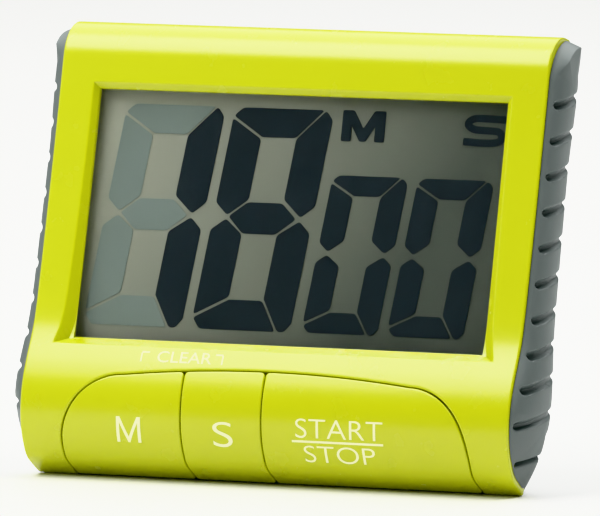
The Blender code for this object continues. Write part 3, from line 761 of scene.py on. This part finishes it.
def make_keys():
    limits = (-KEY_HALF_WIDTH - 1, *KEY_SEAMS, KEY_HALF_WIDTH + 1)
    for name, low, high in zip(("minutes", "seconds", "start_stop"), limits, limits[1:]):
        line = key_loop(low + FINE_SEAM / 2, high - FINE_SEAM / 2)
        line = spaced(rounded(line[::-1], CAP_CORNER), CAP_SPACING, closed=True)
        key = skin(f"{name}_key_cap", [walled(line, KEY_ROLL, KEY_WALL)], KEY_WALL, CAP_GRID)
        place(key, f"{name}_key", "lime_plastic", f"{name}_button")


# ---- rear body ----
def foot_level(depth):
    """Height of the level foot plane at a depth, in the leaning case's own frame."""
    return (-FOOT_DROP + depth * math.sin(LEAN)) / math.cos(LEAN)


def curve_between(start, control, end, steps):
    return [tuple((1 - t) ** 2 * s + 2 * t * (1 - t) * c + t * t * e
                  for s, c, e in zip(start, control, end))
            for t in [i / steps for i in range(steps + 1)]]


def body_outline(depth, steps):
    """Side view of the grey body, closed, depth inside its outer surface."""
    front = inset(CHIN, GREY_INSET + depth)
    shoulder = arc((GREY_INSET + SHOULDER_RADIUS, HEIGHT - SHOULDER_RADIUS),
                   SHOULDER_RADIUS - depth, 90, 175, steps)
    corner = arc((BACK - CORNER_RADIUS, HEIGHT - CORNER_RADIUS),
                 CORNER_RADIUS - depth, 0, 90, steps)
    heel = curve_between((FOOT[1], foot_level(FOOT[1])), (BACK, foot_level(BACK)), (BACK, HEEL_TOP),
                         steps)
    rear = [(y - depth * i / steps, z + depth * (1 - i / steps))
            for i, (y, z) in enumerate(heel)]
    toe = [(FOOT[0] + 0.3 * depth, foot_level(FOOT[0]) + depth)]
    return toe + rear + corner + shoulder + front[8:-8]


def ring_scale(level):
    """How far a ring of the grey body reaches from the spine to the outline."""
    return math.sin(math.radians(SPINE_ANGLE + (90 - SPINE_ANGLE) * level))


def cushion_ring(outline, level, side, sink):
    """A ring of the grey body: it draws in towards the spine as it moves outward."""
    spine, low, high = GRIP_SPINE
    y, z = np.array(outline).T
    centre = np.clip(z, low, high)
    share = centre / HEIGHT
    widest = (FACE_WIDTH / 2 + GRIP_BULGE[0] * (1 - share) + GRIP_BULGE[1] * share - sink
              + LOW_SWELL[0] * np.exp(-((centre - LOW_SWELL[1]) / LOW_SWELL[2]) ** 2)
              + HIGH_SWELL[0] * np.clip((centre - HIGH_SWELL[1]) / HIGH_SWELL[2], 0.0, 1.0))
    rearward = np.maximum(0.0, (y - spine) / (BACK - spine))
    inner = FACE_WIDTH / 2 - sink - (FACE_WIDTH / 2 - FLAT_BACK) * rearward ** 2
    scale = ring_scale(level)
    sharper, margin, reach = HEEL_TAPER
    taper = 1 + sharper * np.clip((low + margin - z) / reach, 0.0, 1.0)
    bulge = math.cos(math.pi / 2 * level) ** taper
    facet = min(1.0, (1 - scale) / (1 - CREST))
    top = np.clip((z - SHOULDER[0]) / (SHOULDER[1] - SHOULDER[0]), 0.0, 1.0)
    top = top * np.clip(1.3 - 2 * rearward, 0.0, 1.0)
    x = inner + (widest - inner) * (bulge + (facet - bulge) * top)
    return np.stack([side * x, spine + (y - spine) * scale, centre + (z - centre) * scale], 1)


def groove_share(points):
    """How far each point of the body sinks into a rib groove, from 0 to 1."""
    share = np.zeros(len(points))
    for index in range(RIB_SLOTS):
        height = RIB_FIRST + RIB_PITCH * index
        half = RIB_WIDTH / 2 * (1.0 if index else LOWEST_RIB)
        start = float(FRONT.depth_at(height)) + RIB_START + RIB_WIDTH - half
        dy, dz = points[:, 1] - start, points[:, 2] - height
        along = np.clip(dy * math.cos(RIB_RISE) + dz * math.sin(RIB_RISE), 0.0, RIB_LENGTH)
        away = np.hypot(dy - along * math.cos(RIB_RISE), dz - along * math.sin(RIB_RISE))
        wall = np.clip((half + RIB_SOFT - away) / (2 * RIB_SOFT), 0.0, 1.0)
        fall = 1 - RIB_FADE[0] * np.clip(along / RIB_FADE[1], 0.0, 1.0)
        share = np.maximum(share, wall * wall * (3 - 2 * wall) * fall)
    return share * (np.abs(points[:, 0]) > RIB_INNER)


def make_grey_cushion():
    """The outside of the grey body with its rib grooves.  Its rows of points rise with them."""
    lines = [np.array(line + line[:1]) for line in (body_outline(depth, 24)
                                                    for depth in (0.0, RIB_DEPTH))]
    length = lengths(lines[0])

    def along(line, marks):
        marks = marks % length[-1]
        return np.stack([np.interp(marks, length, line[:, i]) for i in (0, 1)], 1)

    marks = np.arange(0.0, length[-1], ROW_SPACING)
    y, z = along(lines[0], marks).T
    low, high = ROW_RISE
    slide = (np.abs(y - GRIP_SPINE[0]) * math.tan(RIB_RISE)
             * np.clip((z - low) / (high - low), 0.0, 1.0))
    levels = [i / GRIP_LEVELS for i in range(GRIP_LEVELS + 1)]
    rings = []
    for level, side in [(v, -1) for v in levels] + [(v, 1) for v in reversed(levels)]:
        outer, inner = (along(line, marks + slide * ring_scale(level)) for line in lines)
        skin_points = cushion_ring(outer, level, side, 0.0)
        floor_points = cushion_ring(inner, level, side, RIB_DEPTH)
        share = groove_share(skin_points)[:, None]
        rings.append(skin_points + (floor_points - skin_points) * share)
    return stack("rear_body", rings, GREY, ends=zipped)


def plain_cushion(name, depth, sink):
    """The grey body's form without grooves, a depth inside its outer surface."""
    outline = body_outline(depth, 6)
    levels = (0.0, 0.16, 0.34, 0.54, 0.76, 1.0)
    return stack(name, [cushion_ring(outline, level, -1, sink) for level in levels]
                 + [cushion_ring(outline, level, 1, sink) for level in reversed(levels)])


def front_clearance():
    """Everything in front of the grey body: the front shell's own space and the air before it."""
    gap = WALL + GAP
    chin_inside = [(y, z) for y, z in inset(CHIN, gap) if z < KEY_TOP]
    inner = ([(TOP_REACH + GAP, HEIGHT + 4), (TOP_REACH + GAP, HEIGHT - gap)]
             + arc(FOLD_CENTRE, FOLD_RADIUS - gap, 90, 180, 12)
             + [(gap, KEY_TOP + 0.3)] + chin_inside[:-4] + [(FOOT[0], WALL), (FOOT[0], -4.0)])
    half = FACE_WIDTH / 2 + SIDE_GAP
    return along_x("front_clearance", inner + [(-12.0, -4.0), (-12.0, HEIGHT + 4)], -half, half)


def make_cavity():
    """The room inside the grey body, around its columns, battery box and recesses."""
    cavity = plain_cushion("cavity", REAR_WALL, 2.6)
    columns = [peg("column", place_, ((8.3, 3.2), (25, 3.2)), 16) for place_ in CASE_SCREWS]
    cut(cavity, gathered("screw_columns", columns))
    posts = [peg("post", place_, ((BOARD_BACK + GAP, 2.4), (25, 2.4)), 16)
             for place_ in BOARD_SCREWS]
    wells = [peg("well", (side * MAGNET[0], MAGNET[1]),
                 ((15.0, MAGNET[2] + 1.5), (THROUGH, MAGNET[2] + 1.5))) for side in (-1, 1)]
    cut(cavity, gathered("posts", posts))
    cut(cavity, block("battery_box", (-26.9, 26.9), (5.65, THROUGH), (DOOR[1] - 1.8, 80)))
    cut(cavity, block("stand_well", (-15.6, 15.6), (13.4, THROUGH), (-5, HINGE[1] + 5.4)))
    cut(cavity, gathered("magnet_wells", wells))
    return cavity


def mouth(name, x, z, floor):
    """A cutter for a recess in the flat back, with a chamfered edge."""
    rings = [[(u, y, v) for u, v in rectangle((x[0] - grow, x[1] + grow),
                                              (z[0] - grow, z[1] + grow))]
             for y, grow in ((floor, 0.0), (BACK - CHAMFER, 0.0), (BACK + 0.05, CHAMFER + 0.05),
                             (BACK + 9.0, CHAMFER + 0.05))]
    return stack(name, rings)


def make_rear_body():
    """The grey body: its ribbed outside, hollowed and cut as the CAD model's is."""
    housing = make_grey_cushion()
    cut(housing, make_cavity())
    cut(housing, block("mouth_cutter", (-40.6, 40.6), (-6, 8.8), (2.4, HEIGHT - REAR_WALL - 0.55)))
    cut(housing, front_clearance())
    boss_rooms = [peg("room", spot, ((-9, 2.8), (8.25, 2.8)), 16) for spot in CASE_SCREWS]
    cut(housing, gathered("boss_rooms", boss_rooms))
    half, low, high = DOOR
    well = STAND_HALF_WIDTH + 0.4
    room = CELL_LENGTH / 2 + 3.1
    bores = [peg("bore", spot, ((7, 1.2), (10.85, 1.2), (10.85, 2.3), (BACK - 2.5, 2.3), (25, 2.3)))
             for spot in CASE_SCREWS]
    bores += [peg("board_bore", spot, ((5, 1.1), (11, 1.1)), 12) for spot in BOARD_SCREWS]
    snug = MAGNET[2] + GAP
    bores += [peg("pocket", (side * MAGNET[0], MAGNET[1]),
                  ((16.3, snug), (BACK - 0.3, snug), (BACK + 0.05, snug + CHAMFER),
                   (THROUGH, snug + CHAMFER)), 48)
              for side in (-1, 1)]
    for i in (-1, 0, 1):
        x, z = BUZZER[0], BUZZER[1] + 3.6 * i
        slot = rounded(rectangle((x - 4, x + 4), (z - 0.7, z + 0.7)), 0.7)
        bores.append(along_y("sound_slot", slot, 12, THROUGH))
    cut(housing, gathered("bores", bores))
    cut(housing, block("battery_room", (-room, room), (6.4, 17.0),
                       (CELL_CENTRE[2] - 5.7, CELL_CENTRE[2] + 5.7)))
    cut(housing, block("door_seat", (-half - GAP, half + GAP), (16.9, BACK + 8),
                       (low - GAP, HEIGHT + 8)))
    rails = [block("rail", sorted((side * (half - 1.5), side * (half + 1.5))), (15.75, 17.05),
                   (low - GAP, HEIGHT + 8)) for side in (-1, 1)]
    cut(housing, gathered("rails", rails))
    cut(housing, mouth("stand_well_cutter", (-well, well), (-6, HINGE[1] + 3.4), 15.1))
    cut(housing, rod("pin_bore", HINGE, ((-14.9, PIN_RADIUS + GAP), (14.9, PIN_RADIUS + GAP))))
    housing.data.materials.clear()
    housing.data.materials.append(GREY)
    housing.data.shade_smooth()
    housing.data.set_sharp_from_angle(angle=math.radians(38))
    place(housing, "case", "grey_plastic", "rear_housing")


# ---- display ----
SEGMENTS = {                # corners of a digit's segments in a cell 17.7 wide and 37 high
    "a": ((0, 35.4), (1.6, 37), (16.2, 37), (11.75, 31.9), (5.9, 31.9)),
    "b": ((16.2, 37), (17.7, 35.3), (17.7, 20.9), (15.4, 18.8), (11.75, 21.8), (11.75, 31.9)),
    "c": ((15.4, 18.6), (17.7, 16.5), (17.7, 1.6), (16.6, 0), (15.3, 0), (11.75, 5.4), (11.75, 16)),
    "d": ((15.2, 0), (1.6, 0), (0, 2.0), (5.9, 5.3), (11.75, 5.3)),
    "e": ((0, 2.2), (5.9, 5.5), (5.9, 16), (2.5, 18.6), (0, 16.6)),
    "f": ((0, 35.3), (5.9, 31.8), (5.9, 21.6), (2.5, 18.8), (0, 21)),
    "g": ((2.6, 18.8), (5.7, 21.4), (11.8, 21.4), (14.9, 18.7), (11.6, 15.9), (5.8, 15.9)),
}
CELL_SIZE = (17.7, 37.0)
SLANT = 0.112
LCD_GAP = 0.16
INK_DEPTH = (3.06, 3.14)    # in front of the display ground
BIG_DIGITS = ((-35.67, 24.0), (-16.62, 24.0))   # lower left corners of the minutes
SMALL_DIGITS = ((2.79, 24.1), (17.64, 24.1))    # and of the seconds
SMALL_SIZE = (13.5, 26.3)
GROUND_BOX = ((-36.9, 36.9), (3.2, 3.4), (21.3, 64.0))


def plates(name, outlines, finish):
    """Thin flat plates, one for each closed outline of (x, z) points."""
    points, faces = [], []
    for outline in outlines:
        size, start = len(outline), len(points)
        for y in INK_DEPTH:
            points += [(x, y, z) for x, z in outline]
        faces += [tuple(range(start, start + size)), tuple(range(start + size, start + 2 * size))]
        faces += band(start, start + size, size)
    place(new_piece(name, points, faces, finish, 30), "case", "display_film")


def digit(left, base, width, height, lit):
    """Outlines of a digit's lit segments, slanted, with a fine gap between them."""
    made = []
    for name in lit:
        corners = [(x * width / CELL_SIZE[0], z * height / CELL_SIZE[1]) for x, z in SEGMENTS[name]]
        area = sum(a[0] * b[1] - b[0] * a[1] for a, b in zip(corners, corners[1:] + corners[:1]))
        corners = corners if area > 0 else corners[::-1]
        shrunk = [tuple(point) for point in offset(corners, LCD_GAP)]
        made.append([(left + x + SLANT * z, base + z) for x, z in rounded(shrunk, 0.55, 4)])
    return made


def stroke(route, width):
    """Outline of a pen stroke along a smooth line."""
    line = np.array(smooth_through(route, 10))
    side = left_of(np.gradient(line, axis=0)) * width / 2
    return [tuple(p) for p in line + side] + [tuple(p) for p in (line - side)[::-1]]


def letter_m(left, base, width, height, stem, crotch, branch):
    """Outline of an M whose middle reaches the foot: crotch and branch are shares of its height."""
    middle, right, top = left + width / 2, left + width, base + height
    return [(left, base), (left, top), (left + stem * 1.15, top), (middle, base + height * crotch),
            (right - stem * 1.15, top), (right, top), (right, base), (right - stem, base),
            (right - stem, base + height * branch), (middle + stem * 0.3, base),
            (middle - stem * 0.3, base), (left + stem, base + height * branch), (left + stem, base)]


def letter_s(left, base, width, height):
    """A wide bold S, drawn with one pen stroke."""
    shape = ((1.0, 0.86), (0.6, 0.88), (0.24, 0.87), (0.1, 0.7), (0.25, 0.53), (0.55, 0.5),
             (0.82, 0.47), (0.92, 0.3), (0.8, 0.13), (0.45, 0.1), (0.02, 0.13))
    return stroke([(left + width * x, base + height * z) for x, z in shape], height * 0.235)


def make_display():
    """Reads 18 00, with the first digit's unlit segments faintly seen."""
    tens, ones = BIG_DIGITS
    dark = digit(*ones, *CELL_SIZE, "abcdefg") + digit(*tens, *CELL_SIZE, "bc")
    for corner in SMALL_DIGITS:
        dark += digit(*corner, *SMALL_SIZE, "abcdef")
    dark.append(rounded(letter_m(6.6, 55.9, 7.5, 5.1, 1.7, 0.42, 0.5), 0.25, 3))
    dark.append(letter_s(27.7, 55.9, 7.4, 5.1))
    # the display's ground, with its painted light and shade
    place(block("display_ground_painted_shading", *GROUND_BOX, GROUND), "case", "display_film",
          "display_front_polariser")
    plates("segments_on", dark, INK)
    plates("segments_off", digit(*tens, *CELL_SIZE, "adefg"), GHOST)


# ---- lettering ----
PRINT_STEP = 0.25           # between the level cuts that let ink follow the curved surface
PRINT_DEPTH = (-0.03, 0.02) # of the ink's top and foot under it


def flat_text(name, text, height, width, left, base, weight):
    """Text as a flat mesh in (x, z), fitted to a width and a capital height."""
    curve = bpy.data.curves.new(name, "FONT")
    curve.body = text
    curve.offset = weight
    source = linked(name, curve)
    bpy.context.view_layer.update()
    mesh = evaluated(source)
    bpy.data.objects.remove(source, do_unlink=True)
    places = np.array([vert.co[:2] for vert in mesh.vertices])
    low, high = places.min(0), places.max(0)
    scale = np.array([width, height]) / (high - low)
    for vert, spot in zip(mesh.vertices, (places - low) * scale + (left, base)):
        vert.co = (spot[0], spot[1], 0.0)
    return mesh


def printed(name, meshes, body):
    """Ink a few hundredths thick on the curved surface, from flat (x, z) meshes."""
    shape = bmesh.new()
    for mesh in meshes:
        shape.from_mesh(mesh)
    heights = [vert.co.y for vert in shape.verts]
    level = min(heights) + PRINT_STEP
    while level < max(heights):
        everything = shape.verts[:] + shape.edges[:] + shape.faces[:]
        bmesh.ops.bisect_plane(shape, geom=everything, plane_co=(0, level, 0), plane_no=(0, 1, 0))
        level += PRINT_STEP
    bmesh.ops.triangulate(shape, faces=shape.faces)
    flat = np.array([(vert.co.x, -float(FRONT.length_at(vert.co.y))) for vert in shape.verts])
    top, foot = (FRONT.surface(flat, depth) for depth in PRINT_DEPTH)
    count = len(flat)
    faces = [tuple(vert.index for vert in face.verts) for face in shape.faces]
    rim = [tuple(vert.index for vert in edge.verts) for edge in shape.edges if edge.is_boundary]
    shape.free()
    faces += ([tuple(i + count for i in reversed(face)) for face in faces]
              + [(a, b, b + count, a + count) for a, b in rim])
    points = [tuple(p) for p in top] + [tuple(p) for p in foot]
    place(new_piece(name, points, faces, PRINT, 30), body, "white_plastic")


def flat_shape(name, outline):
    """A closed outline in (x, z) as a flat mesh."""
    mesh = bpy.data.meshes.new(name)
    mesh.from_pydata([(x, z, 0.0) for x, z in outline], [], [tuple(range(len(outline)))])
    return mesh


def bar(x, z):
    return flat_shape("bar", rectangle(x, z))


def make_lettering():
    """The printed names of the keys, and CLEAR in its bracket over the two keys it joins."""
    printed("minutes_letter", [flat_shape("m", letter_m(-25.5, 4.5, 4.2, 3.9, 0.5, 0.2, 0.78))],
            "minutes_key")
    printed("seconds_letter", [flat_text("s", "S", 3.8, 3.4, -8.6, 4.45, -0.01)], "seconds_key")
    printed("start_stop_letters",
            [flat_text("start", "START", 3.0, 15.1, 5.85, 6.4, -0.012),
             flat_text("stop", "STOP", 2.4, 12.3, 7.1, 2.85, -0.012),
             bar((5.2, 21.0), (5.7, 6.0))], "start_stop_key")
    ends = []
    for x, way in ((-22.3, 1), (-8.1, -1)):
        ends.append(bar((x - 0.12, x + 0.12), (17.6, 19.1)))
        ends.append(bar(sorted((x, x + way * 1.3)), (19.1, 19.35)))
    word = flat_text("clear", "CLEAR", 1.9, 9.5, -19.5, 17.6, 0.0)
    printed("clear_letters", [word] + ends, "case")


# ---- camera, light and floor ----
CAMERA_LENS, CAMERA_SENSOR = 671.44, 36.0
CAMERA_PLACE = (0.67789, -1.68, 0.22342)
CAMERA_TARGET = (0.00601, -0.018, 0.03771)
MIDDLE = (0.0, 0.0, 0.035)  # of the object, where the side lights point
WORLD_LIGHT = 0.12
FLOOR_REACH = (-4.0, 4.0)   # metres, both ways


def aimed(name, data, place_, target):
    """A camera or a light in its place, facing a target."""
    made = linked(name, data)
    made.location = place_
    made.rotation_mode = "QUATERNION"
    made.rotation_quaternion = (Vector(target) - Vector(place_)).to_track_quat("-Z", "Y")
    return made


def make_camera():
    camera = bpy.data.cameras.new("camera")
    camera.lens, camera.sensor_width = CAMERA_LENS, CAMERA_SENSOR
    camera.clip_start, camera.clip_end = 0.1, 20.0
    bpy.context.scene.camera = aimed("camera", camera, CAMERA_PLACE, CAMERA_TARGET)


def area_light(name, place_, target, size, power):
    light = bpy.data.lights.new(name, "AREA")
    light.shape = "RECTANGLE"
    light.size, light.size_y = size
    light.energy = power
    aimed(name, light, place_, target)


def make_light():
    world = bpy.data.worlds.new("studio")
    world.use_nodes = True
    background = world.node_tree.nodes["Background"]
    background.inputs["Color"].default_value = (1.0, 1.0, 1.0, 1.0)
    background.inputs["Strength"].default_value = WORLD_LIGHT
    bpy.context.scene.world = world
    area_light("key_box", (-0.33, -0.37, 0.76), (-0.33, -0.37, 0.0), (0.4, 0.76), 9.8)
    area_light("back_box", (-0.1, 0.57, 0.8), (-0.1, 0.57, 0.0), (1.6, 1.05), 17.0)
    area_light("left_box", (-0.8, -0.7, 0.35), MIDDLE, (0.5, 0.6), 1.9)
    area_light("right_box", (0.5, 0.0, 0.9), MIDDLE, (0.4, 0.4), 5.0)


def make_floor():
    mesh = flat_shape("floor", rectangle(FLOOR_REACH, FLOOR_REACH))
    mesh.materials.append(plastic("floor_paint", (236, 236, 234), 0.7, 0.01, 2.0, 0.01))
    floor = linked("floor", mesh)


make_camera()
make_light()
make_floor()
finish_cad_nodes()
make_front_shell()
make_keys()
make_rear_body()
make_display()
make_lettering()
bpy.context.scene.view_settings.view_transform = "Khronos PBR Neutral"
